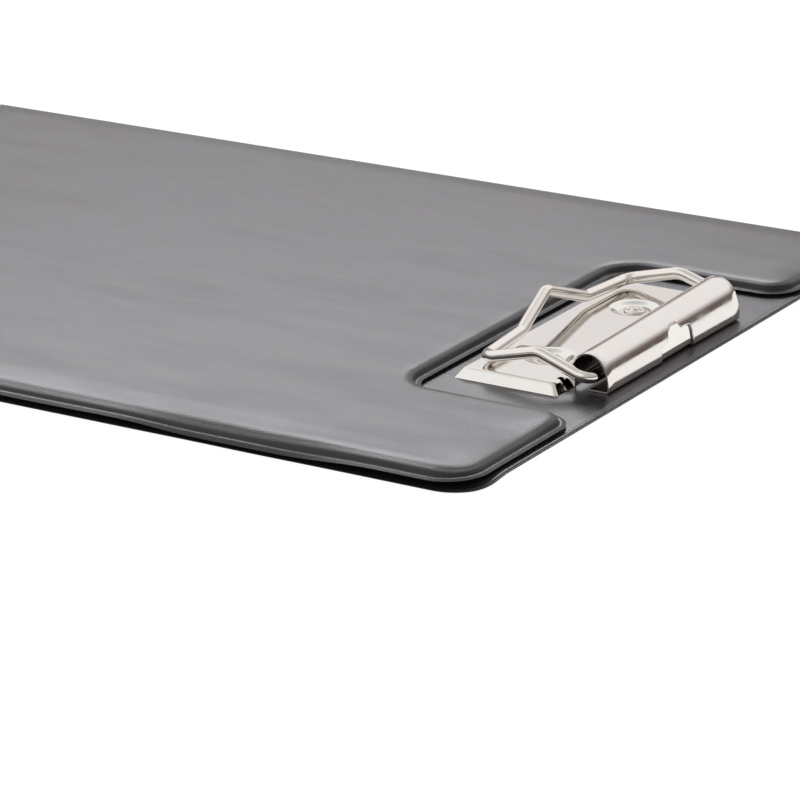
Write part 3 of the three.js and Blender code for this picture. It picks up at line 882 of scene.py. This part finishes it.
# ------------------------------------------------------------------ studio
def walls():
    """A white room: dark and warm near the horizon, dimmer on the camera's side."""
    world = bpy.data.worlds.new("studio")
    bpy.context.scene.world = world
    world.use_nodes = True
    nodes, links = world.node_tree.nodes, world.node_tree.links
    background = nodes["Background"]
    place = nodes.new("ShaderNodeTexCoord")
    split = nodes.new("ShaderNodeSeparateXYZ")
    links.new(place.outputs["Generated"], split.inputs["Vector"])
    wall = ramp(nodes, links, split.outputs["Z"], [
        (0.0, (0.12, 0.095, 0.085)), (0.10, (0.22, 0.175, 0.165)), (0.24, (0.62, 0.56, 0.55)),
        (0.36, (1.0, 0.99, 1.0)), (0.75, (1.0, 1.0, 1.0)), (0.98, (0.6, 0.6, 0.61)),
    ])
    side = nodes.new("ShaderNodeVectorMath")
    side.operation = "DOT_PRODUCT"
    side.inputs[1].default_value = (-0.35, -0.94, 0.0)
    links.new(place.outputs["Generated"], side.inputs[0])
    reach = nodes.new("ShaderNodeMapRange")
    reach.interpolation_type = "SMOOTHSTEP"
    for key, value in (("From Min", -0.75), ("From Max", 0.0), ("To Min", 0.5), ("To Max", 1.0)):
        reach.inputs[key].default_value = value
    links.new(side.outputs["Value"], reach.inputs["Value"])
    lit = nodes.new("ShaderNodeVectorMath")
    lit.operation = "SCALE"
    links.new(wall.outputs["Color"], lit.inputs[0])
    links.new(reach.outputs["Result"], lit.inputs["Scale"])
    links.new(lit.outputs["Vector"], background.inputs["Color"])
    background.inputs["Strength"].default_value = 1.0


def floor():
    """A plain, evenly bright floor just under the board."""
    bm = bmesh.new()
    half, drop = 6000, 0.2
    bm.faces.new(ring(bm, [(-half, -half, 0), (half, -half, 0), (half, half, 0), (-half, half, 0)]))
    bmesh.ops.scale(bm, vec=(MM, MM, MM), verts=bm.verts)
    mesh = bpy.data.meshes.new("floor")
    bm.to_mesh(mesh)
    bm.free()
    made = link("floor", mesh)
    made.location.z = -drop * MM
    material, _, _, shader = node_material("floor_white")
    shader.inputs["Base Color"].default_value = (0.06, 0.06, 0.06, 1)
    shader.inputs["Roughness"].default_value = 0.9
    shader.inputs["Emission Color"].default_value = (1, 1, 1, 1)
    shader.inputs["Emission Strength"].default_value = 0.98
    mesh.materials.append(material)


def softbox(name, place, aim, size, power, colour, lit):
    """A rectangular light, in metres, that reaches only pieces made of the materials in lit."""
    light = bpy.data.lights.new(name, "AREA")
    light.shape = "RECTANGLE"
    light.size, light.size_y = size
    light.energy = power
    light.color = colour
    made = link(name, light)
    made.location = place
    made.rotation_euler = (Vector(aim) - Vector(place)).to_track_quat("-Z", "Y").to_euler()
    receivers = bpy.data.collections.new(name + "_receivers")
    for other in bpy.context.scene.objects:
        if other.type == "MESH" and any(slot.material in lit for slot in other.material_slots):
            receivers.objects.link(other)
    made.light_linking.receiver_collection = receivers


def camera():
    """The camera looks down on the clip's corner, with a slight roll."""
    azimuth, elevation, roll = math.radians(123.095), math.radians(19.635), math.radians(-1.392)
    distance, target = 1.13847, Vector((0.060417, 0.108648, 0))
    back = Vector((math.sin(azimuth) * math.cos(elevation), -math.cos(azimuth) * math.cos(elevation),
                   math.sin(elevation)))
    right = Vector((0, 0, 1)).cross(back).normalized()
    up = back.cross(right)
    turned_right = right * math.cos(roll) + up * math.sin(roll)
    turned_up = up * math.cos(roll) - right * math.sin(roll)
    data = bpy.data.cameras.new("camera")
    data.lens, data.sensor_width = 186.15, 36
    data.clip_start, data.clip_end = 0.01, 20
    made = link("camera", data)
    axes = Matrix((turned_right, turned_up, back)).transposed().to_4x4()
    made.matrix_world = Matrix.Translation(target + back * distance) @ axes
    bpy.context.scene.camera = made


# ------------------------------------------------------------------ build
back_card = frame["nodes"]["back_card"].data
back_card.materials.clear()
back_card.materials.append(GREYBOARD)

cover_shell()
cover_board()
cover_lining()
back_shell()
back_lining()
spine_folds()
clip_plate()
tongue()
roller()
rivets()
wire_bail()
walls()
floor()
softbox("far_softbox", (-1.55, -1.6, 1.6), (0, 0.05, 0), (2.1, 0.85), 37, (0.97, 0.955, 1.0),
        (PVC_OUTER, PVC_INNER))
camera()

bpy.context.scene.view_settings.view_transform = "Standard"
bpy.context.view_layer.update()
